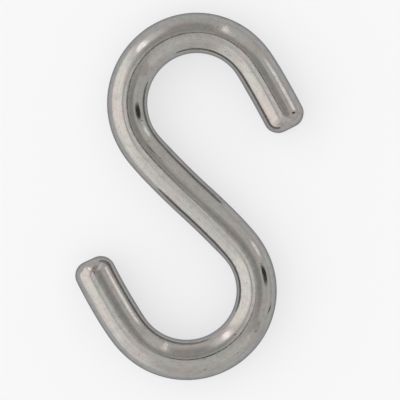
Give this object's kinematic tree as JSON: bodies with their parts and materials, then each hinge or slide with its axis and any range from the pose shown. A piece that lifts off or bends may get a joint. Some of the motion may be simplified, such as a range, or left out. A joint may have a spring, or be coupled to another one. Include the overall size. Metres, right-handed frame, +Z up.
{
  "type": "s hook",
  "caption": "S hook bent in one plane from round steel bar, with an open hook at each end and rounded tips, for hanging or joining rings, chain and rails.",
  "frame": {"origin": "on the surface that the hook lies on, under the middle of its outline", "axes": "+Y along the hook's length, towards the upper bend; +X across it, towards the upper leg's tip; +Z up, square to the plane of the bends"},
  "size_m": [0.0442, 0.0708, 0.008],
  "materials": {
    "steel": "polished"
  },
  "bodies": {
    "root": {"hook": "steel"}
  },
  "joints": []
}
